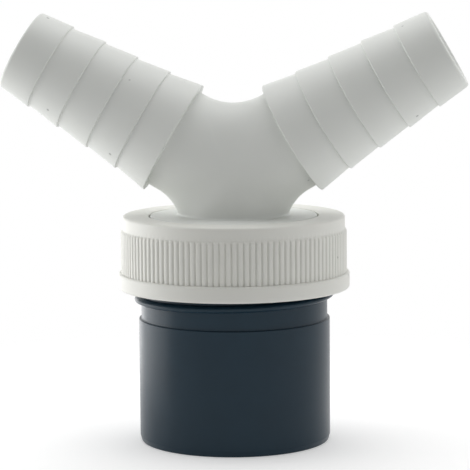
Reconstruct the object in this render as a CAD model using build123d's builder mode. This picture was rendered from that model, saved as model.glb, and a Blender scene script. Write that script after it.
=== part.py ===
from build123d import *
import math
import os

os.makedirs("parts", exist_ok=True)

# Double drain connector: two barbed hose arms on a Y, held on a threaded
# waste spigot by a captive union nut and a flat rubber washer.
# Millimetres. The origin is the centre of the spigot's lower end, +Z points up
# along the spigot, and the two arms spread along X.

# Spigot: skirt for a 40 mm waste pipe, neck, and 1 1/4 inch male thread. The neck
# is as wide as the thread's core, and stands neck_step in from the skirt
thread_minor_diameter = 38.95
thread_depth = 1.48
thread_length = 8.9
neck_step = 0.525
neck_wall = 2.975
neck_height = 5.2
skirt_height = 25.9
lead_in_height = 1.2
lead_in_depth = 0.35
step_chamfer = 0.3
thread_start_chamfer = 0.7
mouth_chamfer = 0.5

# Rubber washer between the spigot's rim and the Y's flange
washer_thickness = 2.0
washer_side_gap = 0.45
washer_lap = 0.5

# Flange and boss of the Y, inside the nut
flange_thickness = 2.3
flange_side_gap = 0.5
boss_ledge = 1.525
boss_wall = 3.0
boss_top_wall = 2.2
boss_fillet = 0.5

# Y tubes
arm_angle = 30.0
crossing_height = 8.9
tube_diameter = 21.9
crotch_radius = 12.0
shoulder_radius = 9.8
stem_wall = 2.0

# Hose barbs, from the body outwards
root_barb_diameter = 25.0
second_barb_diameter = 23.2
third_barb_diameter = 21.8
fourth_barb_diameter = 20.6
end_barb_diameter = 19.3
barb_start = 14.3
barb_pitch = 7.4
barb_step = 0.45
tip_diameter = 17.6
tip_wall = 2.3
tip_chamfer = 0.4
tip_bore_chamfer = 0.6

# Union nut
nut_height = 15.2
lip_thickness = 3.1
nut_wall = 3.345
rim_projection = 0.6
rim_height = 3.4
rim_chamfer = 0.5
rib_count = 120
groove_depth = 0.34
crown_setback = 0.04
crown_height = 2.8
crown_round = 0.9
lip_side_gap = 0.3
chamber_clearance = 0.6
thread_clearance = 0.08
nut_lead_in = 0.8

# Heights worked out from the stack of pieces
neck_top = skirt_height + neck_height
rim_top = neck_top + thread_length
washer_top = rim_top + washer_thickness
flange_top = washer_top + flange_thickness
boss_top = flange_top + lip_thickness
nut_bottom = boss_top - nut_height
nut_thread_top = rim_top + chamber_clearance
rib_bottom = nut_bottom + rim_height
rib_top = boss_top - crown_height
crossing_z = boss_top + crossing_height

# Radii worked out from the fits. The threads are plain at their pitch diameter
neck_radius = thread_minor_diameter / 2
skirt_radius = neck_radius + neck_step
waterway_radius = neck_radius - neck_wall
thread_radius = neck_radius + thread_depth / 2 - thread_clearance / 2
nut_thread_radius = thread_radius + thread_clearance
chamber_radius = neck_radius
washer_outer_radius = chamber_radius - washer_side_gap
washer_inner_radius = waterway_radius - washer_lap
flange_radius = chamber_radius - flange_side_gap
boss_radius = flange_radius - boss_ledge
flange_bore_radius = boss_radius - boss_wall
tube_radius = tube_diameter / 2
stem_bore_radius = tube_radius - stem_wall
arm_bore_radius = tip_diameter / 2 - tip_wall
lip_radius = boss_radius + lip_side_gap
rib_radius = nut_thread_radius + nut_wall
rim_radius = rib_radius + rim_projection
crown_radius = rib_radius - groove_depth - crown_setback

# Barbs in a row, and the arm's length from the crossing
barb_diameters = [
    root_barb_diameter,
    second_barb_diameter,
    third_barb_diameter,
    fourth_barb_diameter,
    end_barb_diameter,
]
tip_s = barb_start + len(barb_diameters) * barb_pitch


def arm_axis_plane(side):
    """Plane at the crossing whose normal runs out along one arm."""
    rise = math.radians(arm_angle)
    return Plane(
        origin=(0, 0, crossing_z),
        x_dir=(0, 1, 0),
        z_dir=(side * math.cos(rise), 0, math.sin(rise)),
    )


def arm_profile_plane(side):
    """Plane through one arm's axis, with its local X running out along the arm."""
    rise = math.radians(arm_angle)
    return Plane(
        origin=(0, 0, crossing_z),
        x_dir=(side * math.cos(rise), 0, math.sin(rise)),
        z_dir=(0, -side, 0),
    )


def barb_outline():
    """Points of one arm's barbed outline, from its root to the tip."""
    outline = [(barb_start, 0), (barb_start, barb_diameters[0] / 2)]
    for i, edge_diameter in enumerate(barb_diameters[1:], start=1):
        edge_s = barb_start + i * barb_pitch
        outline.append((edge_s, edge_diameter / 2 - barb_step))
        outline.append((edge_s, edge_diameter / 2))
    outline.append((tip_s, tip_diameter / 2))
    outline.append((tip_s, 0))
    return outline


# Threaded spigot
with BuildPart() as threaded_spigot:
    with BuildSketch(Plane.XZ):
        with BuildLine():
            Polyline(
                (waterway_radius, 0),
                (skirt_radius - lead_in_depth, 0),
                (skirt_radius, lead_in_height),
                (skirt_radius, skirt_height - step_chamfer),
                (skirt_radius - step_chamfer, skirt_height),
                (neck_radius, skirt_height),
                (neck_radius, neck_top - thread_start_chamfer),
                (thread_radius, neck_top),
                (thread_radius, rim_top - thread_start_chamfer),
                (neck_radius, rim_top),
                (waterway_radius, rim_top),
                close=True,
            )
        make_face()
    revolve(axis=Axis.Z)
    mouth = threaded_spigot.faces().sort_by(Axis.Z)[0].edges().sort_by(SortBy.RADIUS)[0]
    chamfer(mouth, mouth_chamfer)
threaded_spigot.part.label = "threaded_spigot"
export_step(threaded_spigot.part, "parts/threaded_spigot.step")


# Sealing washer
with BuildPart() as sealing_washer:
    with BuildSketch(Plane.XY.offset(rim_top)):
        Circle(washer_outer_radius)
        Circle(washer_inner_radius, mode=Mode.SUBTRACT)
    extrude(amount=washer_thickness)
sealing_washer.part.label = "sealing_washer"
export_step(sealing_washer.part, "parts/sealing_washer.step")


# Y branch
with BuildPart() as y_branch:
    # Three equal tubes that meet at the crossing, 120 degrees apart
    for side in (1, -1):
        with BuildSketch(arm_axis_plane(side)):
            Circle(tube_radius)
        extrude(amount=barb_start + barb_pitch / 2)
    with BuildSketch(Plane.XY.offset(crossing_z)):
        Circle(tube_radius)
    extrude(amount=washer_top - crossing_z)

    # Rolling-ball blends in the crotch and under each arm
    seams = y_branch.edges().filter_by(GeomType.ELLIPSE)
    fillet(seams.sort_by(Axis.Z)[-1], crotch_radius)
    seams = y_branch.edges().filter_by(GeomType.ELLIPSE)
    fillet(seams.filter_by(lambda e: e.center().Z < crossing_z), shoulder_radius)

    # Boss that stands flush in the nut, blended into the stem
    with BuildSketch(Plane.XY.offset(washer_top)):
        Circle(boss_radius)
    extrude(amount=boss_top - washer_top)
    boss_face = y_branch.faces().filter_by(Plane.XY).group_by(Axis.Z)[-1][0]
    fillet(boss_face.inner_wires()[0].edges(), boss_fillet)

    # Flange that the nut's lip holds down on the washer
    with BuildSketch(Plane.XY.offset(washer_top)):
        Circle(flange_radius)
    extrude(amount=flange_thickness)

    # Barbed arms
    for side in (1, -1):
        profile_plane = arm_profile_plane(side)
        with BuildSketch(profile_plane):
            with BuildLine():
                Polyline(*barb_outline(), close=True)
            make_face()
        revolve(axis=Axis(profile_plane.origin, profile_plane.x_dir))

    # Waterways: the wide mouth under the boss, the stem and the two arms
    with BuildSketch(Plane.XY.offset(washer_top)):
        Circle(flange_bore_radius)
    extrude(amount=boss_top - boss_top_wall - washer_top, mode=Mode.SUBTRACT)
    with BuildSketch(Plane.XY.offset(washer_top)):
        Circle(stem_bore_radius)
    extrude(amount=crossing_z - washer_top, mode=Mode.SUBTRACT)
    with Locations((0, 0, crossing_z)):
        Sphere(stem_bore_radius, mode=Mode.SUBTRACT)
    for side in (1, -1):
        with BuildSketch(arm_axis_plane(side)):
            Circle(arm_bore_radius)
        extrude(amount=tip_s, mode=Mode.SUBTRACT)

    # Eased edges at the two tips
    for side in (1, -1):
        out = Axis((0, 0, crossing_z), arm_axis_plane(side).z_dir)
        tip_edges = y_branch.faces().sort_by(out)[-1].edges().sort_by(SortBy.RADIUS)
        chamfer(tip_edges[-1], tip_chamfer)
        chamfer(tip_edges[0], tip_bore_chamfer)
y_branch.part.label = "y_branch"
export_step(y_branch.part, "parts/y_branch.step")


# Union nut
with BuildPart() as union_nut:
    # Plain rim below the ribs
    with BuildSketch(Plane.XY.offset(nut_bottom)):
        Circle(rim_radius)
    extrude(amount=rim_height)
    chamfer(union_nut.edges().filter_by(GeomType.CIRCLE), rim_chamfer)

    # Ribbed band: V-shaped grip grooves are cut in its outline, each by one
    # corner of a square
    with BuildSketch(Plane.XY.offset(rib_bottom)):
        Circle(rib_radius)
        with PolarLocations(rib_radius, rib_count):
            RegularPolygon(groove_depth, 4, mode=Mode.SUBTRACT)
    extrude(amount=rib_top - rib_bottom)

    # Crown, set just behind the bottoms of the grooves, with a rounded top edge
    with BuildSketch(Plane.XY.offset(rib_top)):
        Circle(crown_radius)
    extrude(amount=crown_height)
    crown_edges = union_nut.edges().filter_by(GeomType.CIRCLE).group_by(Axis.Z)[-1]
    fillet(crown_edges, crown_round)

    # Inside: thread bore, flange chamber and the hole in the lip
    with BuildSketch(Plane.XZ):
        with BuildLine():
            Polyline(
                (0, nut_bottom),
                (nut_thread_radius + nut_lead_in, nut_bottom),
                (nut_thread_radius, nut_bottom + nut_lead_in),
                (nut_thread_radius, nut_thread_top),
                (chamber_radius, nut_thread_top),
                (chamber_radius, flange_top),
                (lip_radius, flange_top),
                (lip_radius, boss_top),
                (0, boss_top),
                close=True,
            )
        make_face()
    revolve(axis=Axis.Z, mode=Mode.SUBTRACT)
union_nut.part.label = "union_nut"
export_step(union_nut.part, "parts/union_nut.step")
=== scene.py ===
"""Looks and studio for the double appliance drain connector.

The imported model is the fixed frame. Its sizes are in metres, and mm() turns the
millimetres written here into metres. The spigot stands on the floor at the origin,
+Z runs up its axis, and the two arms of the Y spread along X.
"""

import math

import bmesh
import bpy
import numpy as np
from mathutils import Matrix, Vector


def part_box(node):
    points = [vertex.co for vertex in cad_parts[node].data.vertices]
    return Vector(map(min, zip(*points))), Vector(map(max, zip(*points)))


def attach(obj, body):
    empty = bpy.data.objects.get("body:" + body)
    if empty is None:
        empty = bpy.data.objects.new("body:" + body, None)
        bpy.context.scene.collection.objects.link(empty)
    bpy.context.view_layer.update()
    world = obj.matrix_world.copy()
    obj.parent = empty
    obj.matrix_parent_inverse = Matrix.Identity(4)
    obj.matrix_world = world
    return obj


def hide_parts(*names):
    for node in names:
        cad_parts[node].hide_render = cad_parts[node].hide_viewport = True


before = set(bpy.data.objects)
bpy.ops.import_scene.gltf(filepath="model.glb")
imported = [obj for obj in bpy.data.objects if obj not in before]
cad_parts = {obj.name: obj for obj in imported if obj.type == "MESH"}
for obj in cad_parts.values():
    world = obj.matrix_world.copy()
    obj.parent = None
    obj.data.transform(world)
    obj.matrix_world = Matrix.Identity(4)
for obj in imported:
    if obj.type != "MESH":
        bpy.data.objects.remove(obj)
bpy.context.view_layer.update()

bl_info = {
    "name": "Double Appliance Drain Connector",
    "version": (1, 0, 0),
    "blender": (4, 5, 0),
    "location": "View3D > Sidebar > Drain Connector",
    "description": "Builds the looks of a double appliance drain connector and its studio",
    "category": "Object",
}

UP = np.array((0.0, 0.0, 1.0))
FRONT = np.array((0.0, -1.0, 0.0))
TINY_ANGLE = 1e-7

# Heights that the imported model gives
SPIGOT_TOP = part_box("threaded_spigot")[1].z
BRANCH_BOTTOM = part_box("y_branch")[0].z
NUT_BOTTOM, NUT_TOP = (corner.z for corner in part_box("union_nut"))

# How finely the round forms are divided, as columns round them or rows along them
SPIGOT_COLUMNS = 192
TUBE_COLUMNS = 144
BORE_COLUMNS = 96
DOME_ROWS = 24
COLUMNS_PER_RIB = 10
RIB_ROWS = 8
RIB_END_ROWS = 7
THREAD_STEPS_PER_TURN = 96
ROUND_STEPS = 5
SMALL_ROUND_STEPS = 4
BLEND_ROWS = 17
TUBE_ROWS = 7
STEM_ROWS = 5
FILLET_ROWS = 9

# Half of a thread ridge's outline, from the foot up: shares of the ridge's depth and of
# half its base. Then comes the shoulder of the rounded crest, as a share of the depth
RIDGE_FLANK = ((0.35, 0.85), (0.70, 0.58))
CREST_SHOULDER = 0.93

# Softboxes: name, place in metres, width in metres and power in watts
SOFTBOXES = (
    ("left_softbox", (-0.50, 0.12, 0.05), 0.45, 1.2),
    ("rear_softbox", (-0.30, 0.42, 0.02), 0.25, 0.3),
    ("top_softbox", (0.0, 0.08, 0.60), 0.50, 1.42),
)

# Where the room's brightness changes, on a unit sphere round the part. The heights are
# from below to level and from level to above, in front, at the sides and behind
ROOM_HEIGHTS = (
    ((-0.7, -0.5), (-0.2, 0.0)),
    ((-0.4, -0.2), (0.2, 0.4)),
    ((-0.2, 0.0), (0.0, 0.2)),
)
FRONT_TO_SIDES = (-1.0, -0.2)
SIDES_TO_BACK = (0.3, 0.7)


def mm(value):
    """Millimetres as metres."""
    return value * 0.001


# Sizes and colours that a user would change


class SpigotSettings(bpy.types.PropertyGroup):
    """Skirt, neck and waterway of the dark spigot."""

    skirt_radius: bpy.props.FloatProperty(
        name="Skirt radius",
        description="Outside radius of the part that goes into a 40 mm waste pipe",
        default=mm(20.0),
        subtype="DISTANCE",
        unit="LENGTH",
    )
    skirt_height: bpy.props.FloatProperty(
        name="Skirt height",
        description="Height of the skirt, up to the step below the neck",
        default=mm(25.9),
        subtype="DISTANCE",
        unit="LENGTH",
    )
    neck_radius: bpy.props.FloatProperty(
        name="Neck radius",
        description="Radius of the neck, which is also the core of the male thread",
        default=mm(19.475),
        subtype="DISTANCE",
        unit="LENGTH",
    )
    bore_radius: bpy.props.FloatProperty(
        name="Bore radius",
        description="Radius of the waterway through the spigot",
        default=mm(16.5),
        subtype="DISTANCE",
        unit="LENGTH",
    )
    lead_in_height: bpy.props.FloatProperty(
        name="Lead-in height",
        description="Height of the taper at the spigot's lower end",
        default=mm(1.2),
        subtype="DISTANCE",
        unit="LENGTH",
    )
    lead_in_depth: bpy.props.FloatProperty(
        name="Lead-in depth",
        description="How far the taper at the lower end goes in",
        default=mm(0.35),
        subtype="DISTANCE",
        unit="LENGTH",
    )
    edge_round: bpy.props.FloatProperty(
        name="Edge round",
        description="Radius that the mould leaves on the spigot's outer edges",
        default=mm(0.25),
        subtype="DISTANCE",
        unit="LENGTH",
    )


class ThreadSettings(bpy.types.PropertyGroup):
    """The 1 1/4 inch parallel pipe thread that joins nut and spigot."""

    pitch: bpy.props.FloatProperty(
        name="Pitch",
        description="Height that the thread climbs in one turn",
        default=mm(2.309),
        subtype="DISTANCE",
        unit="LENGTH",
    )
    crest_radius: bpy.props.FloatProperty(
        name="Male crest radius",
        description="Outer radius of the spigot's thread",
        default=mm(20.9),
        subtype="DISTANCE",
        unit="LENGTH",
    )
    root_radius: bpy.props.FloatProperty(
        name="Female root radius",
        description="Radius of the nut's bore between the turns of its thread",
        default=mm(21.0),
        subtype="DISTANCE",
        unit="LENGTH",
    )
    inner_radius: bpy.props.FloatProperty(
        name="Female crest radius",
        description="Inner radius of the nut's thread",
        default=mm(19.6),
        subtype="DISTANCE",
        unit="LENGTH",
    )
    base_half: bpy.props.FloatProperty(
        name="Half base",
        description="Half the ridge's width at its foot",
        default=mm(0.86),
        subtype="DISTANCE",
        unit="LENGTH",
    )
    crest_half: bpy.props.FloatProperty(
        name="Half crest",
        description="Half the ridge's width just below its rounded crest",
        default=mm(0.28),
        subtype="DISTANCE",
        unit="LENGTH",
    )
    start_height: bpy.props.FloatProperty(
        name="First turn",
        description="Height of the male thread's first turn at the left of the front",
        default=mm(29.8),
        subtype="DISTANCE",
        unit="LENGTH",
    )
    start_angle: bpy.props.FloatProperty(
        name="Start angle",
        description="Angle from +X where the male thread starts to rise out of the neck",
        default=math.radians(125.0),
        subtype="ANGLE",
        unit="ROTATION",
    )
    run_out: bpy.props.FloatProperty(
        name="Run-out",
        description="Angle over which each end of the thread fades into its wall",
        default=math.radians(28.0),
        subtype="ANGLE",
        unit="ROTATION",
    )


class NutSettings(bpy.types.PropertyGroup):
    """Rim, ribs and crown of the union nut."""

    rim_radius: bpy.props.FloatProperty(
        name="Rim radius",
        description="Radius of the plain rim below the ribs",
        default=mm(24.19),
        subtype="DISTANCE",
        unit="LENGTH",
    )
    rim_height: bpy.props.FloatProperty(
        name="Rim height",
        description="Height of the plain rim",
        default=mm(3.4),
        subtype="DISTANCE",
        unit="LENGTH",
    )
    rib_radius: bpy.props.FloatProperty(
        name="Rib radius",
        description="Radius over the tops of the ribs",
        default=mm(23.6),
        subtype="DISTANCE",
        unit="LENGTH",
    )
    rib_count: bpy.props.IntProperty(
        name="Ribs",
        description="Number of grip ribs round the nut",
        default=120,
        min=12,
    )
    groove_depth: bpy.props.FloatProperty(
        name="Groove depth",
        description="Depth of the grooves between the ribs",
        default=mm(0.32),
        subtype="DISTANCE",
        unit="LENGTH",
    )
    groove_width: bpy.props.FloatProperty(
        name="Groove width",
        description="Width of the grooves between the flat-topped ribs",
        default=mm(0.7),
        subtype="DISTANCE",
        unit="LENGTH",
    )
    rib_fade: bpy.props.FloatProperty(
        name="Rib fade",
        description="Height over which the ribs' upper ends round down to the crown",
        default=mm(0.7),
        subtype="DISTANCE",
        unit="LENGTH",
    )
    crown_radius: bpy.props.FloatProperty(
        name="Crown radius",
        description="Radius of the plain band above the ribs",
        default=mm(23.22),
        subtype="DISTANCE",
        unit="LENGTH",
    )
    crown_height: bpy.props.FloatProperty(
        name="Crown height",
        description="Height of the band from the ribs to the nut's top face",
        default=mm(2.8),
        subtype="DISTANCE",
        unit="LENGTH",
    )
    crown_round: bpy.props.FloatProperty(
        name="Crown round",
        description="Radius of the rounded top edge",
        default=mm(0.5),
        subtype="DISTANCE",
        unit="LENGTH",
    )
    chamber_radius: bpy.props.FloatProperty(
        name="Chamber radius",
        description="Radius of the chamber that holds the flange and the washer",
        default=mm(19.475),
        subtype="DISTANCE",
        unit="LENGTH",
    )
    lip_radius: bpy.props.FloatProperty(
        name="Lip radius",
        description="Radius of the hole in the nut's top, round the boss",
        default=mm(17.75),
        subtype="DISTANCE",
        unit="LENGTH",
    )
    lip_thickness: bpy.props.FloatProperty(
        name="Lip thickness",
        description="Thickness of the lip that presses on the flange",
        default=mm(3.1),
        subtype="DISTANCE",
        unit="LENGTH",
    )
    thread_top: bpy.props.FloatProperty(
        name="Thread bore top",
        description="Height where the thread bore ends below the chamber",
        default=mm(40.6),
        subtype="DISTANCE",
        unit="LENGTH",
    )
    edge_round: bpy.props.FloatProperty(
        name="Edge round",
        description="Radius on the nut's small edges",
        default=mm(0.5),
        subtype="DISTANCE",
        unit="LENGTH",
    )


class BranchSettings(bpy.types.PropertyGroup):
    """Tubes, blends, boss and flange of the Y."""

    tube_radius: bpy.props.FloatProperty(
        name="Tube radius",
        description="Outside radius of the three tubes where they meet",
        default=mm(10.95),
        subtype="DISTANCE",
        unit="LENGTH",
    )
    arm_angle: bpy.props.FloatProperty(
        name="Arm angle",
        description="Angle of each arm above the horizontal",
        default=math.radians(30.0),
        subtype="ANGLE",
        unit="ROTATION",
    )
    crossing_height: bpy.props.FloatProperty(
        name="Crossing height",
        description="Height where the three tube axes cross",
        default=mm(56.3),
        subtype="DISTANCE",
        unit="LENGTH",
    )
    crotch_radius: bpy.props.FloatProperty(
        name="Crotch radius",
        description="Radius of the blend between the two arms",
        default=mm(12.0),
        subtype="DISTANCE",
        unit="LENGTH",
    )
    shoulder_radius: bpy.props.FloatProperty(
        name="Shoulder radius",
        description="Radius of the blend between each arm and the stem",
        default=mm(9.8),
        subtype="DISTANCE",
        unit="LENGTH",
    )
    boss_radius: bpy.props.FloatProperty(
        name="Boss radius",
        description="Radius of the boss that stands flush in the nut's top",
        default=mm(17.45),
        subtype="DISTANCE",
        unit="LENGTH",
    )
    boss_fillet: bpy.props.FloatProperty(
        name="Boss fillet",
        description="Radius of the fillet between the stem and the boss",
        default=mm(0.5),
        subtype="DISTANCE",
        unit="LENGTH",
    )
    flange_radius: bpy.props.FloatProperty(
        name="Flange radius",
        description="Radius of the flange under the nut's lip",
        default=mm(18.975),
        subtype="DISTANCE",
        unit="LENGTH",
    )
    flange_thickness: bpy.props.FloatProperty(
        name="Flange thickness",
        description="Thickness of the flange",
        default=mm(2.3),
        subtype="DISTANCE",
        unit="LENGTH",
    )
    mouth_radius: bpy.props.FloatProperty(
        name="Mouth radius",
        description="Radius of the wide mouth under the boss",
        default=mm(14.45),
        subtype="DISTANCE",
        unit="LENGTH",
    )
    mouth_height: bpy.props.FloatProperty(
        name="Mouth height",
        description="Height of the wide mouth, from the flange's lower face",
        default=mm(3.2),
        subtype="DISTANCE",
        unit="LENGTH",
    )
    stem_bore_radius: bpy.props.FloatProperty(
        name="Stem bore radius",
        description="Radius of the waterway in the stem",
        default=mm(8.95),
        subtype="DISTANCE",
        unit="LENGTH",
    )
    arm_bore_radius: bpy.props.FloatProperty(
        name="Arm bore radius",
        description="Radius of the waterway in each arm",
        default=mm(6.5),
        subtype="DISTANCE",
        unit="LENGTH",
    )


class BarbSettings(bpy.types.PropertyGroup):
    """The five hose barbs on each arm."""

    start: bpy.props.FloatProperty(
        name="First barb",
        description="Distance from the crossing to the first barb's edge",
        default=mm(14.3),
        subtype="DISTANCE",
        unit="LENGTH",
    )
    pitch: bpy.props.FloatProperty(
        name="Barb pitch",
        description="Distance from one barb's edge to the next",
        default=mm(7.4),
        subtype="DISTANCE",
        unit="LENGTH",
    )
    radii: bpy.props.FloatVectorProperty(
        name="Edge radii",
        description="Radius of each barb's edge, from the body outwards",
        size=5,
        default=(mm(12.5), mm(11.6), mm(10.9), mm(10.3), mm(9.65)),
        subtype="NONE",
        unit="LENGTH",
    )
    step: bpy.props.FloatProperty(
        name="Barb step",
        description="Height of the step behind each barb's edge",
        default=mm(0.45),
        subtype="DISTANCE",
        unit="LENGTH",
    )
    tip_radius: bpy.props.FloatProperty(
        name="Tip radius",
        description="Outside radius of each arm's open end",
        default=mm(8.8),
        subtype="DISTANCE",
        unit="LENGTH",
    )
    edge_round: bpy.props.FloatProperty(
        name="Edge round",
        description="Radius that the mould leaves on each barb's edge",
        default=mm(0.2),
        subtype="DISTANCE",
        unit="LENGTH",
    )
    tip_round: bpy.props.FloatProperty(
        name="Tip round",
        description="Radius of the outer edge of each open end",
        default=mm(0.65),
        subtype="DISTANCE",
        unit="LENGTH",
    )
    tip_flare: bpy.props.FloatProperty(
        name="Bore chamfer",
        description="Chamfer at the mouth of each arm's bore",
        default=mm(0.6),
        subtype="DISTANCE",
        unit="LENGTH",
    )


class FinishSettings(bpy.types.PropertyGroup):
    """Colours of the plastics and the rubber, as sRGB hex values."""

    branch_colour: bpy.props.StringProperty(
        name="Y colour",
        description="Polypropylene of the Y",
        default="#DDDFDB",
    )
    nut_colour: bpy.props.StringProperty(
        name="Nut colour",
        description="Polypropylene of the union nut",
        default="#DEDED8",
    )
    spigot_colour: bpy.props.StringProperty(
        name="Spigot colour",
        description="PVC-U of the spigot",
        default="#1A2F3C",
    )
    washer_colour: bpy.props.StringProperty(
        name="Washer colour",
        description="EPDM rubber of the washer",
        default="#171717",
    )


class StudioSettings(bpy.types.PropertyGroup):
    """Camera, lamps and floor."""

    lens: bpy.props.FloatProperty(
        name="Lens",
        description="Focal length of the camera on a 36 mm sensor",
        default=183.62,
        subtype="DISTANCE_CAMERA",
        unit="CAMERA",
    )
    distance: bpy.props.FloatProperty(
        name="Camera distance",
        description="Distance from the camera to the point that it looks at",
        default=mm(501.03),
        subtype="DISTANCE",
        unit="LENGTH",
    )
    elevation: bpy.props.FloatProperty(
        name="Camera elevation",
        description="How far the camera looks down",
        default=math.radians(7.225),
        subtype="ANGLE",
        unit="ROTATION",
    )
    yaw: bpy.props.FloatProperty(
        name="Camera yaw",
        description="How far the camera stands round to the right of the front",
        default=math.radians(5.787),
        subtype="ANGLE",
        unit="ROTATION",
    )
    roll: bpy.props.FloatProperty(
        name="Camera roll",
        description="Tilt of the camera about its own axis",
        default=math.radians(-0.441),
        subtype="ANGLE",
        unit="ROTATION",
    )
    aim_height: bpy.props.FloatProperty(
        name="Aim height",
        description="Height of the point that the camera looks at",
        default=mm(43.083),
        subtype="DISTANCE",
        unit="LENGTH",
    )
    aim_right: bpy.props.FloatProperty(
        name="Aim offset",
        description="How far that point lies to the right of the axis",
        default=mm(0.251),
        subtype="DISTANCE",
        unit="LENGTH",
    )
    room_high: bpy.props.FloatVectorProperty(
        name="Room above",
        description="Brightness of the upper part of the room: in front, at the sides, behind",
        size=3,
        default=(0.0, 0.47, 1.4),
    )
    room_level: bpy.props.FloatVectorProperty(
        name="Room level",
        description="Brightness of the room at the part's level: in front, at the sides, behind",
        size=3,
        default=(0.78, 1.55, 0.8),
    )
    room_low: bpy.props.FloatVectorProperty(
        name="Room below",
        description="Brightness of the lower part of the room: in front, at the sides, behind",
        size=3,
        default=(0.0, 1.05, 0.45),
    )


SETTINGS = {
    "spigot": SpigotSettings,
    "thread": ThreadSettings,
    "nut": NutSettings,
    "branch": BranchSettings,
    "barbs": BarbSettings,
    "finish": FinishSettings,
    "studio": StudioSettings,
}


def settings(name):
    """One group of the scene's settings."""
    return getattr(bpy.context.scene, "drain_" + name)


# Outlines and meshes


def unit(vector):
    """The vector at length one."""
    return vector / np.linalg.norm(vector)


def around(columns):
    """Angles that divide a full turn into equal steps."""
    return np.arange(columns) * 2 * math.pi / columns


def rounded_outline(corners, steps=ROUND_STEPS, closed=True):
    """Points along an outline of (distance, height, rounding) corners, with arcs in place
    of the corners that have a rounding."""
    points = []
    count = len(corners)
    for i, (across, along, rounding) in enumerate(corners):
        corner = np.array((across, along))
        is_end = not closed and i in (0, count - 1)
        if rounding <= 0 or is_end:
            points.append(corner)
            continue
        before = unit(np.array(corners[i - 1][:2]) - corner)
        after = unit(np.array(corners[(i + 1) % count][:2]) - corner)
        half_angle = math.acos(np.clip(before @ after, -1, 1)) / 2
        centre = corner + unit(before + after) * rounding / math.sin(half_angle)
        reach = rounding / math.tan(half_angle)
        start = corner + before * reach - centre
        end = corner + after * reach - centre
        for t in np.linspace(0, 1, steps + 1):
            points.append(centre + slerp(start / rounding, end / rounding, t) * rounding)
    return np.array(points)


def slerp(start, end, t):
    """Unit vector a share t of the way round from start to end."""
    angle = math.acos(np.clip(start @ end, -1, 1))
    if angle < TINY_ANGLE:
        return start
    return (start * math.sin((1 - t) * angle) + end * math.sin(t * angle)) / math.sin(angle)


def divide_long(outline, longest, closed=True):
    """The outline with its straight runs divided into pieces no longer than longest."""
    points = []
    count = len(outline)
    for i in range(count if closed else count - 1):
        start, end = outline[i], outline[(i + 1) % count]
        parts = max(1, math.ceil(np.linalg.norm(end - start) / longest))
        for k in range(parts):
            points.append(start + (end - start) * k / parts)
    if not closed:
        points.append(outline[-1])
    return np.array(points)


def grid_faces(rows, columns, first=0, close_rows=True):
    """Faces between neighbouring rows of a grid whose columns run round."""
    faces = []
    for i in range(rows if close_rows else rows - 1):
        below, above = first + i * columns, first + (i + 1) % rows * columns
        for j in range(columns):
            k = (j + 1) % columns
            faces.append((below + j, below + k, above + k, above + j))
    return faces


def capped_faces(rows, columns):
    """Faces of a grid that is open at its ends, with a flat cap on each."""
    last = (rows - 1) * columns
    caps = [tuple(range(columns)), tuple(range(last, last + columns))]
    return grid_faces(rows, columns, close_rows=False) + caps


def turned_points(outline, columns):
    """The (radius, height) points of an outline, each turned into a ring about the Z axis."""
    return [
        (radius * math.cos(angle), radius * math.sin(angle), height)
        for radius, height in outline
        for angle in around(columns)
    ]


def add_mesh(name, points, faces, merge=0.0):
    """A smooth-shaded mesh object with its faces turned outwards."""
    mesh = bpy.data.meshes.new(name)
    mesh.from_pydata([tuple(p) for p in points], [], faces)
    work = bmesh.new()
    work.from_mesh(mesh)
    if merge:
        bmesh.ops.remove_doubles(work, verts=work.verts, dist=merge)
    bmesh.ops.recalc_face_normals(work, faces=work.faces)
    for face in work.faces:
        face.smooth = True
    work.to_mesh(mesh)
    work.free()
    piece = bpy.data.objects.new(name, mesh)
    bpy.context.scene.collection.objects.link(piece)
    return piece


def mark_sharp(piece, angle=math.radians(40.0)):
    """Keep the edges crisp where a bore cuts the wall."""
    work = bmesh.new()
    work.from_mesh(piece.data)
    for edge in work.edges:
        edge.smooth = len(edge.link_faces) == 2 and edge.calc_face_angle() < angle
    for face in work.faces:
        face.smooth = True
    work.to_mesh(piece.data)
    work.free()


def weigh_normals(piece):
    """Shade by the larger faces, so that flats stay flat beside small rounds."""
    modifier = piece.modifiers.new("weighted normals", "WEIGHTED_NORMAL")
    modifier.keep_sharp = True
    modifier.weight = 100


def cut(piece, cutter):
    """Take the cutter out of the piece, and keep the result as its mesh."""
    modifier = piece.modifiers.new("cut", "BOOLEAN")
    modifier.operation = "DIFFERENCE"
    modifier.solver = "MANIFOLD"
    modifier.object = cutter
    evaluated = piece.evaluated_get(bpy.context.evaluated_depsgraph_get())
    mesh = bpy.data.meshes.new_from_object(evaluated)
    piece.modifiers.remove(modifier)
    piece.data = mesh
    bpy.data.objects.remove(cutter)


def dress(piece, body, slot, finish, *nodes):
    """Give a piece its finish, its body and the nodes that it stands for."""
    mark_sharp(piece)
    weigh_normals(piece)
    piece.data.materials.clear()
    piece.data.materials.append(finish)
    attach(piece, body)
    if nodes:
        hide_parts(*nodes)


# Finishes


def linear(hex_colour):
    """An sRGB hex colour as linear RGBA, by the sRGB curve."""
    channels = [int(hex_colour[i : i + 2], 16) / 255 for i in (1, 3, 5)]
    curve = [c / 12.92 if c <= 0.04045 else ((c + 0.055) / 1.055) ** 2.4 for c in channels]
    return (*curve, 1.0)


def shade(hex_colour, factor):
    """A linear colour, lighter or darker by a factor."""
    red, green, blue, alpha = linear(hex_colour)
    return (red * factor, green * factor, blue * factor, alpha)


def add_node(tree, kind, values=None, **options):
    """Add a node, set its options, and set or link its inputs."""
    node = tree.nodes.new(kind)
    for name, value in options.items():
        setattr(node, name, value)
    for name, value in (values or {}).items():
        if isinstance(value, bpy.types.NodeSocket):
            tree.links.new(value, node.inputs[name])
        else:
            node.inputs[name].default_value = value
    return node


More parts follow.
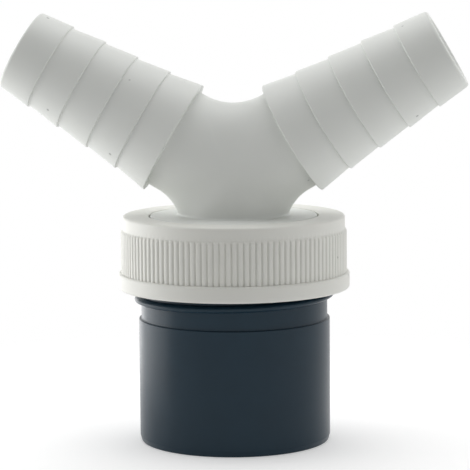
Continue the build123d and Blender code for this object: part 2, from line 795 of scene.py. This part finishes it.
def blend_colours(tree, share, low, high):
    """The socket of a colour that goes from low to high with the share."""
    ramp = add_node(tree, "ShaderNodeValToRGB", {"Fac": share})
    ramp.color_ramp.elements[0].color = low
    ramp.color_ramp.elements[1].color = high
    return ramp.outputs["Color"]


def new_material(name):
    """An empty node material and its tree."""
    material = bpy.data.materials.new(name)
    material.use_nodes = True
    material.node_tree.nodes.clear()
    return material, material.node_tree


def close_material(tree, shader):
    """Link a shader to the material's output."""
    add_node(tree, "ShaderNodeOutputMaterial", {"Surface": shader.outputs[0]})


def moulded_polypropylene(name, colour):
    """White polypropylene, injection moulded in a spark-eroded tool: a dull, even white with
    a soft waxy sheen, a little light passing into it, and a very fine grain."""
    material, tree = new_material(name)
    where = add_node(tree, "ShaderNodeTexCoord").outputs["Object"]
    # Faint clouds in the colour, about 9 mm across, where the melt flowed
    darker, lighter = 0.965, 1.02
    clouds = add_node(
        tree, "ShaderNodeTexNoise", {"Vector": where, "Scale": 1 / mm(9.0), "Detail": 3.0}
    )
    tint = blend_colours(
        tree, clouds.outputs["Fac"], shade(colour, darker), shade(colour, lighter)
    )
    # Dark specks about 0.5 mm across where dust was caught in the melt. Their pattern has a
    # point every 7.5 mm all through the plastic, and those that lie in the surface show,
    # some 20 mm apart. A speck is darkest up to 0.22 mm from its point and ends at 0.40 mm
    spacing, core, edge = 7.5, 0.22, 0.40
    spots = add_node(tree, "ShaderNodeTexVoronoi", {"Vector": where, "Scale": 1 / mm(spacing)})
    dirt = add_node(
        tree,
        "ShaderNodeMapRange",
        {
            "Value": spots.outputs["Distance"],
            "From Min": core / spacing,
            "From Max": edge / spacing,
            "To Min": 0.55,
            "To Max": 1.0,
        },
    )
    tint = add_node(
        tree, "ShaderNodeHueSaturation", {"Color": tint, "Value": dirt.outputs["Result"]}
    ).outputs["Color"]
    # The tool's grain is about 0.05 mm. It is drawn at 0.25 mm, so that it shows
    grain = add_node(
        tree, "ShaderNodeTexNoise", {"Vector": where, "Scale": 1 / mm(0.25), "Detail": 2.0}
    )
    sheen = add_node(
        tree,
        "ShaderNodeMapRange",
        {"Value": grain.outputs["Fac"], "To Min": 0.40, "To Max": 0.50},
    )
    relief = add_node(
        tree,
        "ShaderNodeBump",
        {"Height": grain.outputs["Fac"], "Strength": 0.12, "Distance": mm(0.02)},
    )
    shader = add_node(
        tree,
        "ShaderNodeBsdfPrincipled",
        {
            "Base Color": tint,
            "Roughness": sheen.outputs["Result"],
            "Normal": relief.outputs["Normal"],
            "IOR": 1.49,
            "Subsurface Weight": 0.12,
            "Subsurface Radius": (1.0, 0.95, 0.88),
            "Subsurface Scale": mm(1.2),
        },
    )
    close_material(tree, shader)
    return material


def moulded_pvc(name, colour):
    """Dark grey PVC-U, injection moulded in a polished tool: a close, slightly glossy surface
    with a blue cast, whose edges pick up a pale sheen."""
    material, tree = new_material(name)
    where = add_node(tree, "ShaderNodeTexCoord").outputs["Object"]
    # Flow clouds in the colour, about 7 mm across
    darker, lighter = 0.85, 1.18
    clouds = add_node(
        tree, "ShaderNodeTexNoise", {"Vector": where, "Scale": 1 / mm(7.0), "Detail": 4.0}
    )
    tint = blend_colours(
        tree, clouds.outputs["Fac"], shade(colour, darker), shade(colour, lighter)
    )
    # Handling leaves a fine haze, drawn at 0.5 mm
    haze = add_node(
        tree, "ShaderNodeTexNoise", {"Vector": where, "Scale": 1 / mm(0.5), "Detail": 3.0}
    )
    gloss = add_node(
        tree,
        "ShaderNodeMapRange",
        {"Value": haze.outputs["Fac"], "To Min": 0.26, "To Max": 0.36},
    )
    relief = add_node(
        tree,
        "ShaderNodeBump",
        {"Height": haze.outputs["Fac"], "Strength": 0.08, "Distance": mm(0.02)},
    )
    shader = add_node(
        tree,
        "ShaderNodeBsdfPrincipled",
        {
            "Base Color": tint,
            "Roughness": gloss.outputs["Result"],
            "Normal": relief.outputs["Normal"],
            "IOR": 1.53,
            # Handled PVC-U shines less than fresh, which would keep the default of 0.5
            "Specular IOR Level": 0.2,
        },
    )
    close_material(tree, shader)
    return material


def stamped_rubber(name, colour):
    """EPDM rubber, stamped from sheet: a dead black with a fine dusty grain and hardly any
    shine."""
    material, tree = new_material(name)
    where = add_node(tree, "ShaderNodeTexCoord").outputs["Object"]
    # Sheet grain, about 0.3 mm
    darker, lighter = 0.8, 1.5
    grain = add_node(
        tree, "ShaderNodeTexNoise", {"Vector": where, "Scale": 1 / mm(0.3), "Detail": 2.0}
    )
    tint = blend_colours(
        tree, grain.outputs["Fac"], shade(colour, darker), shade(colour, lighter)
    )
    relief = add_node(
        tree,
        "ShaderNodeBump",
        {"Height": grain.outputs["Fac"], "Strength": 0.3, "Distance": mm(0.03)},
    )
    shader = add_node(
        tree,
        "ShaderNodeBsdfPrincipled",
        {
            "Base Color": tint,
            "Roughness": 0.78,
            "Normal": relief.outputs["Normal"],
            "IOR": 1.52,
        },
    )
    close_material(tree, shader)
    return material


# Pieces


def revolve(name, outline, columns):
    """A closed outline of (radius, height) points turned about the Z axis."""
    return add_mesh(name, turned_points(outline, columns), grid_faces(len(outline), columns))


def helical_ridge(name, angles, base_radius, crest_radius, height_at, slimmer=0.0):
    """A thread ridge that follows the angles. height_at gives the height of its middle, and
    its ends fade into the wall over the run-out. slimmer narrows each half of its base."""
    thread = settings("thread")
    base_half = thread.base_half - slimmer
    # The foot lies a little inside the wall, and the ends keep a sliver of their depth
    foot_radius = base_radius + mm(0.1) * math.copysign(1, base_radius - crest_radius)
    sliver = 0.02
    points = []
    for angle in angles:
        share = min(1.0, min(angle - angles[0], angles[-1] - angle) / thread.run_out)
        depth = (crest_radius - base_radius) * math.sin(max(share, sliver) * math.pi / 2)
        flank = [(foot_radius, base_half)]
        for rise, width in RIDGE_FLANK:
            flank.append((base_radius + depth * rise, base_half * width))
        flank.append((base_radius + depth * CREST_SHOULDER, thread.crest_half))
        crest = (base_radius + depth, 0.0)
        section = [(radius, -offset) for radius, offset in flank] + [crest] + flank[::-1]
        for radius, offset in section:
            points.append(
                (radius * math.cos(angle), radius * math.sin(angle), height_at(angle) + offset)
            )
    return add_mesh(name, points, capped_faces(len(angles), len(section)))


def thread_angles(start, low, high):
    """Angles along a thread that climbs from one height to another."""
    turns = (high - low) / settings("thread").pitch
    steps = int(turns * THREAD_STEPS_PER_TURN)
    return start + np.linspace(0, 1, steps) * turns * 2 * math.pi


def male_height(angle):
    """Height of the male thread's middle at an angle from +X."""
    thread = settings("thread")
    return thread.start_height + (angle - math.pi) / (2 * math.pi) * thread.pitch


def female_height(angle):
    """Height of the female thread's middle, half a pitch above the male one."""
    return male_height(angle) + settings("thread").pitch / 2


def build_spigot():
    """The spigot's shell and its male thread."""
    size = settings("spigot")
    thread = settings("thread")
    mouth = mm(0.5)
    mouth_round, lead_in_round, step_round = mm(0.15), mm(0.6), mm(0.12)
    outer_rim_round, inner_rim_round = mm(0.4), mm(0.3)
    longest_face, thread_to_rim = mm(3.0), mm(0.9)
    corners = [
        (size.bore_radius + mouth, 0.0, mouth_round),
        (size.skirt_radius - size.lead_in_depth, 0.0, size.edge_round),
        (size.skirt_radius, size.lead_in_height, lead_in_round),
        (size.skirt_radius, size.skirt_height, size.edge_round),
        (size.neck_radius, size.skirt_height, step_round),
        (size.neck_radius, SPIGOT_TOP, outer_rim_round),
        (size.bore_radius, SPIGOT_TOP, inner_rim_round),
        (size.bore_radius, mouth, mouth_round),
    ]
    outline = divide_long(rounded_outline(corners), longest_face)
    shell = revolve("spigot_shell", outline, SPIGOT_COLUMNS)
    angles = thread_angles(thread.start_angle, thread.start_height, SPIGOT_TOP - thread_to_rim)
    ridge = helical_ridge(
        "male_thread", angles, size.neck_radius, thread.crest_radius, male_height
    )
    finish = moulded_pvc("moulded_pvc_u", settings("finish").spigot_colour)
    dress(shell, "spigot", "dark_pvc", finish, "threaded_spigot")
    dress(ridge, "spigot", "dark_pvc", finish)


def finish_washer():
    """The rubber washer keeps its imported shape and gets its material."""
    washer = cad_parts["sealing_washer"]
    rubber = stamped_rubber("stamped_epdm_rubber", settings("finish").washer_colour)
    washer.material_slots[0].material = rubber


def nut_rows():
    """The nut's closed outline: for each row its radius, its height, and its share of the
    grooves' depth."""
    size = settings("nut")
    thread = settings("thread")
    rib_bottom = NUT_BOTTOM + size.rim_height
    rib_top = NUT_TOP - size.crown_height
    lip_bottom = NUT_TOP - size.lip_thickness
    inner_round, lead_in, longest_face = mm(0.2), mm(0.3), mm(2.0)
    below = [
        (thread.root_radius + lead_in, NUT_BOTTOM, 0),
        (size.rim_radius, NUT_BOTTOM, size.edge_round),
        (size.rim_radius, rib_bottom, size.edge_round),
        (size.rib_radius, rib_bottom, 0),
    ]
    above = [
        (size.crown_radius, rib_top, 0),
        (size.crown_radius, NUT_TOP, size.crown_round),
        (size.lip_radius, NUT_TOP, inner_round),
        (size.lip_radius, lip_bottom, inner_round),
        (size.chamber_radius, lip_bottom, inner_round),
        (size.chamber_radius, size.thread_top, inner_round),
        (thread.root_radius, size.thread_top, inner_round),
        (thread.root_radius, NUT_BOTTOM + lead_in, 0),
    ]

    def plain_rows(corners):
        """Rows without grooves, along rounded corners."""
        outline = divide_long(rounded_outline(corners, closed=False), longest_face, closed=False)
        return [(radius, height, 0.0) for radius, height in outline]

    # The last corner below is the foot of the ribs, where their grooves start
    rows = plain_rows(below)[:-1]
    fade_bottom = rib_top - size.rib_fade
    for height in np.linspace(rib_bottom, fade_bottom, RIB_ROWS):
        rows.append((size.rib_radius, height, 1.0))
    for fade in np.linspace(1, 0, RIB_END_ROWS)[1:-1]:
        share = fade * (2 - fade)
        radius = size.crown_radius + (size.rib_radius - size.crown_radius) * share
        rows.append((radius, rib_top - fade * size.rib_fade, share))
    return rows + plain_rows(above)


def build_nut():
    """The ribbed nut and the thread inside it."""
    size = settings("nut")
    thread = settings("thread")
    columns = size.rib_count * COLUMNS_PER_RIB
    angles = around(columns)
    # How far each column lies from the middle of its groove. The groove's wall climbs from
    # 0 there to 1 on top of the rib, softly at both ends
    rib_pitch = 2 * math.pi * size.rib_radius / size.rib_count
    from_groove = np.abs(angles * size.rib_count / (2 * math.pi) % 1 - 0.5) * rib_pitch
    ribs = np.clip(from_groove / (size.groove_width / 2), 0, 1)
    ribs = ribs * ribs * (3 - 2 * ribs)
    points = []
    for radius, height, share in nut_rows():
        radii = radius + share * size.groove_depth * (ribs - 1)
        points.extend(zip(radii * np.cos(angles), radii * np.sin(angles), [height] * columns))
    nut = add_mesh("ribbed_union_nut", points, grid_faces(len(points) // columns, columns))
    # The female thread is a little slimmer, so that the two clear each other
    thread_to_mouth, thread_to_chamber, slimmer = mm(0.6), mm(0.9), mm(0.12)
    low = NUT_BOTTOM + thread_to_mouth
    start = math.pi + (low - female_height(math.pi)) / thread.pitch * 2 * math.pi
    angles = thread_angles(start, low, size.thread_top - thread_to_chamber)
    ridge = helical_ridge(
        "female_thread", angles, thread.root_radius, thread.inner_radius, female_height, slimmer
    )
    finish = moulded_polypropylene("moulded_polypropylene_nut", settings("finish").nut_colour)
    dress(nut, "nut", "white_nut", finish, "union_nut")
    dress(ridge, "nut", "white_nut", finish)


def blend_line(angle, outward, aside, blends):
    """The blend that one line along a tube runs into: the wall's normal there, how far from
    the crossing the blend starts, its ball's centre and radius, and the directions from the
    centre to the wall and to the seam. The angle counts round the tube from the front, and
    blends holds the radius of the blend and half the angle between the tubes, on the aside
    and on the other side."""
    tube_radius = settings("branch").tube_radius
    side = 1 if math.sin(angle) >= 0 else -1
    radius, half_angle = blends[0] if side == 1 else blends[1]
    normal = aside * math.sin(angle) + FRONT * math.cos(angle)
    reach = (tube_radius + radius) * abs(math.sin(angle)) / math.tan(half_angle)
    seam = side * math.cos(half_angle) * aside - math.sin(half_angle) * outward
    centre = outward * reach + normal * (tube_radius + radius)
    middle = unit(normal - (normal @ seam) * seam)
    return normal, reach, centre, radius, -normal, -middle


def arm_rows(outward, aside, blends, outline):
    """Rows of points from an arm's tip to its seam with the other tubes. outline holds the
    (radius, distance) points of the barbed stretch, from the tip inwards."""
    tube_radius = settings("branch").tube_radius
    columns = []
    for angle in around(TUBE_COLUMNS):
        normal, reach, centre, radius, to_wall, to_seam = blend_line(angle, outward, aside, blends)
        line = [outward * along + normal * across for across, along in outline]
        for along in np.linspace(outline[-1][1], reach, TUBE_ROWS)[1:]:
            line.append(outward * along + normal * tube_radius)
        for t in np.linspace(0, 1, BLEND_ROWS)[1:]:
            line.append(centre + radius * slerp(to_wall, to_seam, t))
        columns.append(line)
    return np.array(columns).transpose(1, 0, 2)


def stem_rows(aside, blends, boss_outline):
    """Rows of points from the seams down the stem, round the fillet and over the boss.
    boss_outline holds the (radius, height) points from the boss's top edge to the bottom,
    with heights from the crossing."""
    size = settings("branch")
    fillet = size.boss_fillet
    level = boss_outline[0][1] + fillet
    columns = []
    for angle in around(TUBE_COLUMNS):
        normal, reach, centre, radius, to_wall, to_seam = blend_line(angle, -UP, aside, blends)
        # The fillet's ball rests on the straight stem, or on the blend where that reaches down
        if -reach >= level:
            foot = 0.0
            ball = normal * (size.tube_radius + fillet) + UP * level
            to_stem = -normal
        else:
            spread = math.acos(np.clip(to_wall @ to_seam, -1, 1))
            rise = (level + reach) * math.sin(spread) / ((radius - fillet) * to_seam[2])
            foot = math.asin(min(1.0, rise)) / spread
            to_stem = slerp(to_wall, to_seam, foot)
            ball = centre + (radius - fillet) * to_stem
        line = []
        for t in np.linspace(1, foot, BLEND_ROWS):
            line.append(centre + radius * slerp(to_wall, to_seam, t))
        top = min(-reach, line[-1][2])
        for height in np.linspace(top, level, STEM_ROWS)[1:]:
            straight = normal * size.tube_radius + UP * height
            line.append(straight if -reach >= level else line[-1])
        for t in np.linspace(0, 1, FILLET_ROWS)[1:]:
            line.append(ball + fillet * slerp(to_stem, -UP, t))
        # From the fillet the boss's top face runs out to its edge, in three steps
        landing = line[-1]
        radial = unit(landing * (1, 1, 0))
        edge = radial * boss_outline[0][0] + UP * boss_outline[0][1]
        line += [landing + (edge - landing) * t for t in (0.33, 0.67)]
        line += [radial * across + UP * height for across, height in boss_outline]
        columns.append(line)
    return np.array(columns).transpose(1, 0, 2)


def barb_outline():
    """One arm's barbed outline as (radius, distance) points, from the tip inwards."""
    size = settings("barbs")
    tube_radius = settings("branch").tube_radius
    tip = size.start + len(size.radii) * size.pitch
    cap_radius, step_round, root_gap, longest_face = mm(3.0), mm(0.1), mm(0.4), mm(1.2)
    corners = [(cap_radius, tip, 0), (size.tip_radius, tip, size.tip_round)]
    for i in reversed(range(len(size.radii))):
        edge = size.start + i * size.pitch
        foot = size.radii[i] - size.step if i else tube_radius
        corners.append((size.radii[i], edge, size.edge_round))
        corners.append((foot, edge, step_round))
    corners.append((tube_radius, size.start - root_gap, 0))
    outline = rounded_outline(corners, SMALL_ROUND_STEPS, closed=False)
    return divide_long(outline, longest_face, closed=False)


def bore_cutter(outline, placed):
    """A closed solid of revolution with capped ends, placed by a matrix."""
    points = [placed @ Vector(point) for point in turned_points(outline, BORE_COLUMNS)]
    return add_mesh("cutter", points, capped_faces(len(outline), BORE_COLUMNS))


def build_branch():
    """The Y: two barbed arms and a stem with rolling-ball blends, on its boss and flange,
    with its waterways cut through."""
    size = settings("branch")
    barbs = settings("barbs")
    rise = size.arm_angle
    crotch = (size.crotch_radius, math.pi / 2 - rise)
    shoulder = (size.shoulder_radius, math.pi / 4 + rise / 2)
    crossing = UP * size.crossing_height
    bottom = BRANCH_BOTTOM - size.crossing_height
    flange_top = bottom + size.flange_thickness
    boss_top = NUT_TOP - size.crossing_height
    boss_round, flange_round, edge_band, cap_radius = mm(0.3), mm(0.15), mm(0.6), mm(5.0)
    boss_corners = [
        (size.boss_radius - edge_band, boss_top, 0),
        (size.boss_radius, boss_top, boss_round),
        (size.boss_radius, flange_top, flange_round),
        (size.flange_radius, flange_top, flange_round),
        (size.flange_radius, bottom, flange_round),
        (cap_radius, bottom, 0),
    ]
    boss = rounded_outline(boss_corners, SMALL_ROUND_STEPS, closed=False)
    outline = barb_outline()
    points, faces = [], []
    arms = []
    for side in (1, -1):
        outward = np.array((side * math.cos(rise), 0, math.sin(rise)))
        aside = np.array((-side * math.sin(rise), 0, math.cos(rise)))
        arms.append(arm_rows(outward, aside, (crotch, shoulder), outline))
    stem = stem_rows(np.array((1.0, 0, 0)), (shoulder, shoulder), boss)
    for rows in (*arms, stem):
        first = len(points)
        count = rows.shape[1]
        points.extend(rows.reshape(-1, 3) + crossing)
        faces.extend(grid_faces(len(rows), count, first, close_rows=False))
        # The barbed arms start with a flat cap, and the stem ends with one
        cap = first if rows is not stem else first + (len(rows) - 1) * count
        faces.append(tuple(range(cap, cap + count)))
    branch = add_mesh("y_connector", points, faces, merge=mm(0.002))

    # The stem's waterway ends in a dome at the crossing, and the arms' waterways start there
    bore = size.stem_bore_radius
    pole, below_mouth, from_crossing, past_tip = 0.02, mm(1.0), mm(2.0), mm(2.0)
    mouth_top = BRANCH_BOTTOM + size.mouth_height
    stem_bore = [
        (size.mouth_radius, BRANCH_BOTTOM - below_mouth),
        (size.mouth_radius, mouth_top),
        (bore, mouth_top),
    ]
    for angle in np.linspace(0, math.pi / 2 - pole, DOME_ROWS):
        stem_bore.append((bore * math.cos(angle), size.crossing_height + bore * math.sin(angle)))
    cut(branch, bore_cutter(stem_bore, Matrix.Identity(4)))
    tip = barbs.start + len(barbs.radii) * barbs.pitch
    flare = barbs.tip_flare
    arm_bore = [
        (size.arm_bore_radius, from_crossing),
        (size.arm_bore_radius, tip - flare),
        (size.arm_bore_radius + flare, tip),
        (size.arm_bore_radius + flare, tip + past_tip),
    ]
    for side in (1, -1):
        outward = Vector((side * math.cos(rise), 0, math.sin(rise)))
        turn = Vector(UP).rotation_difference(outward).to_matrix().to_4x4()
        cut(branch, bore_cutter(arm_bore, Matrix.Translation(crossing) @ turn))
    finish = moulded_polypropylene("moulded_polypropylene_y", settings("finish").branch_colour)
    dress(branch, "branch", "white_branch", finish, "y_branch")


# Studio


def add_lamp(name, place, width, power):
    """A square white softbox that faces the middle of the part."""
    lamp = bpy.data.lights.new(name, "AREA")
    lamp.size = width
    lamp.energy = power
    stand = bpy.data.objects.new(name, lamp)
    bpy.context.scene.collection.objects.link(stand)
    stand.location = place
    aim = Vector((0, 0, settings("studio").aim_height)) - stand.location
    stand.rotation_euler = aim.to_track_quat("-Z", "Y").to_euler()


def seen_rays(tree):
    """A socket that is 1 for rays that see the background, from the camera or by way of a
    glossy or clear surface, and 0 for those that light the dull colour of a surface."""
    rays = add_node(tree, "ShaderNodeLightPath")
    seen = rays.outputs["Is Camera Ray"]
    for kind in ("Is Glossy Ray", "Is Transmission Ray"):
        seen = add_node(
            tree, "ShaderNodeMath", {0: seen, 1: rays.outputs[kind]}, operation="MAXIMUM"
        ).outputs[0]
    return seen


def build_world():
    """A white room, brightest at the part's sides, that shows as plain white behind it."""
    world = bpy.data.worlds.new("white_room")
    world.use_nodes = True
    bpy.context.scene.world = world
    tree = world.node_tree
    tree.nodes.clear()
    studio = settings("studio")
    direction = add_node(
        tree,
        "ShaderNodeSeparateXYZ",
        {"Vector": add_node(tree, "ShaderNodeTexCoord").outputs["Generated"]},
    )

    def blend(axis, start, end, low, high):
        """A level that goes from low to high between two places along an axis."""
        return add_node(
            tree,
            "ShaderNodeMapRange",
            {
                "Value": direction.outputs[axis],
                "From Min": start,
                "From Max": end,
                "To Min": low,
                "To Max": high,
            },
            interpolation_type="SMOOTHSTEP",
        ).outputs["Result"]

    # Each side of the room has its own brightness below, level with and above the part
    levels = zip(studio.room_low, studio.room_level, studio.room_high, ROOM_HEIGHTS)
    front, sides, back = (
        blend("Z", *to_above, blend("Z", *to_level, low, level), high)
        for low, level, high, (to_level, to_above) in levels
    )
    room = blend("Y", *SIDES_TO_BACK, blend("Y", *FRONT_TO_SIDES, front, sides), back)
    # The background behind the part is plain white
    strength = add_node(
        tree, "ShaderNodeMapRange", {"Value": seen_rays(tree), "To Min": room, "To Max": 1.0}
    )
    white = add_node(
        tree,
        "ShaderNodeBackground",
        {"Color": (1, 1, 1, 1), "Strength": strength.outputs["Result"]},
    )
    add_node(tree, "ShaderNodeOutputWorld", {"Surface": white.outputs[0]})


def build_floor():
    """A round pale floor that keeps the part's soft shadow and fades into the white."""
    radius, rings, columns = 0.4, 12, 96
    circles = [(radius * ring / rings, 0.0) for ring in range(1, rings + 1)]
    points = [(0.0, 0.0, 0.0)] + turned_points(circles, columns)
    faces = [(0, 1 + j, 1 + (j + 1) % columns) for j in range(columns)]
    faces += grid_faces(rings, columns, 1, close_rows=False)
    floor = add_mesh("studio_floor", points, faces)
    just_below = mm(0.05)
    floor.location.z = -just_below
    material, tree = new_material("matt_white_paper")
    where = add_node(tree, "ShaderNodeTexCoord").outputs["Object"]
    reach = add_node(tree, "ShaderNodeVectorMath", {0: where}, operation="LENGTH")
    fade_start, fade_end = mm(40.0), mm(140.0)
    fade = add_node(
        tree,
        "ShaderNodeMapRange",
        {"Value": reach.outputs["Value"], "From Min": fade_start, "From Max": fade_end},
        interpolation_type="SMOOTHSTEP",
    )
    # The paper looks as white as the background, apart from the shadow. The light that it
    # throws back on the part is that of a greyer table
    grey, pale = (0.55, 0.55, 0.55, 1), (0.80, 0.80, 0.80, 1)
    table = blend_colours(tree, seen_rays(tree), grey, pale)
    paper = add_node(tree, "ShaderNodeBsdfDiffuse", {"Color": table})
    glow = add_node(tree, "ShaderNodeEmission", {"Color": (1, 1, 1, 1), "Strength": 0.32})
    bright = add_node(tree, "ShaderNodeAddShader", {0: paper.outputs[0], 1: glow.outputs[0]})
    open_air = add_node(tree, "ShaderNodeBsdfTransparent")
    close_material(
        tree,
        add_node(
            tree,
            "ShaderNodeMixShader",
            {0: fade.outputs["Result"], 1: bright.outputs[0], 2: open_air.outputs[0]},
        ),
    )
    floor.data.materials.append(material)


def build_camera():
    """The photograph's camera: a long lens, half a metre away, a little above the part."""
    studio = settings("studio")
    yaw, elevation, roll = studio.yaw, studio.elevation, studio.roll
    back = Vector(
        (
            math.sin(yaw) * math.cos(elevation),
            -math.cos(yaw) * math.cos(elevation),
            math.sin(elevation),
        )
    )
    right = Vector((math.cos(yaw), math.sin(yaw), 0))
    up = back.cross(right)
    aim = Vector((0, 0, studio.aim_height)) + right * studio.aim_right
    tilted_right = right * math.cos(roll) + up * math.sin(roll)
    tilted_up = up * math.cos(roll) - right * math.sin(roll)
    camera = bpy.data.cameras.new("camera")
    camera.sensor_width = 36
    camera.lens = studio.lens
    camera.clip_start = mm(10.0)
    stand = bpy.data.objects.new("camera", camera)
    bpy.context.scene.collection.objects.link(stand)
    turned = Matrix((tilted_right, tilted_up, back)).transposed().to_4x4()
    stand.matrix_world = Matrix.Translation(aim + back * studio.distance) @ turned
    bpy.context.scene.camera = stand


def build_studio():
    """Camera, lamps, room and floor."""
    build_camera()
    build_world()
    build_floor()
    for softbox in SOFTBOXES:
        add_lamp(*softbox)
    bpy.context.scene.view_settings.view_transform = "Standard"


# Operators, panel and registration


class PieceOperator:
    """What the operators share: they run one function and report that they are done."""

    bl_options = {"REGISTER", "UNDO"}
    build = None

    def execute(self, context):
        type(self).build()
        return {"FINISHED"}


class DRAIN_OT_spigot(PieceOperator, bpy.types.Operator):
    """Build the dark spigot with its male thread"""

    bl_idname = "drain.spigot"
    bl_label = "Spigot"
    build = staticmethod(build_spigot)


class DRAIN_OT_washer(PieceOperator, bpy.types.Operator):
    """Give the rubber washer its material"""

    bl_idname = "drain.washer"
    bl_label = "Washer"
    build = staticmethod(finish_washer)


class DRAIN_OT_branch(PieceOperator, bpy.types.Operator):
    """Build the white Y with its barbed arms"""

    bl_idname = "drain.branch"
    bl_label = "Y branch"
    build = staticmethod(build_branch)


class DRAIN_OT_nut(PieceOperator, bpy.types.Operator):
    """Build the ribbed union nut with its female thread"""

    bl_idname = "drain.nut"
    bl_label = "Union nut"
    build = staticmethod(build_nut)


class DRAIN_OT_studio(PieceOperator, bpy.types.Operator):
    """Set up the camera, the lamps, the room and the floor"""

    bl_idname = "drain.studio"
    bl_label = "Studio"
    build = staticmethod(build_studio)


OPERATORS = (
    DRAIN_OT_spigot,
    DRAIN_OT_washer,
    DRAIN_OT_branch,
    DRAIN_OT_nut,
    DRAIN_OT_studio,
)


class DRAIN_PT_panel(bpy.types.Panel):
    """Lists the connector's operators in the sidebar"""

    bl_idname = "DRAIN_PT_panel"
    bl_label = "Drain Connector"
    bl_space_type = "VIEW_3D"
    bl_region_type = "UI"
    bl_category = "Drain Connector"

    def draw(self, context):
        for operator in OPERATORS:
            self.layout.operator(operator.bl_idname)


CLASSES = (*SETTINGS.values(), *OPERATORS, DRAIN_PT_panel)


def register():
    """Register the classes and hang the settings on the scene."""
    for cls in CLASSES:
        bpy.utils.register_class(cls)
    for name, group in SETTINGS.items():
        setattr(bpy.types.Scene, "drain_" + name, bpy.props.PointerProperty(type=group))


def unregister():
    """Take the settings and the classes away again."""
    for name in SETTINGS:
        delattr(bpy.types.Scene, "drain_" + name)
    for cls in reversed(CLASSES):
        bpy.utils.unregister_class(cls)


def main():
    """Build every piece in order, then the studio."""
    register()
    bpy.ops.drain.spigot()
    bpy.ops.drain.washer()
    bpy.ops.drain.branch()
    bpy.ops.drain.nut()
    bpy.ops.drain.studio()


if __name__ == "__main__":
    main()
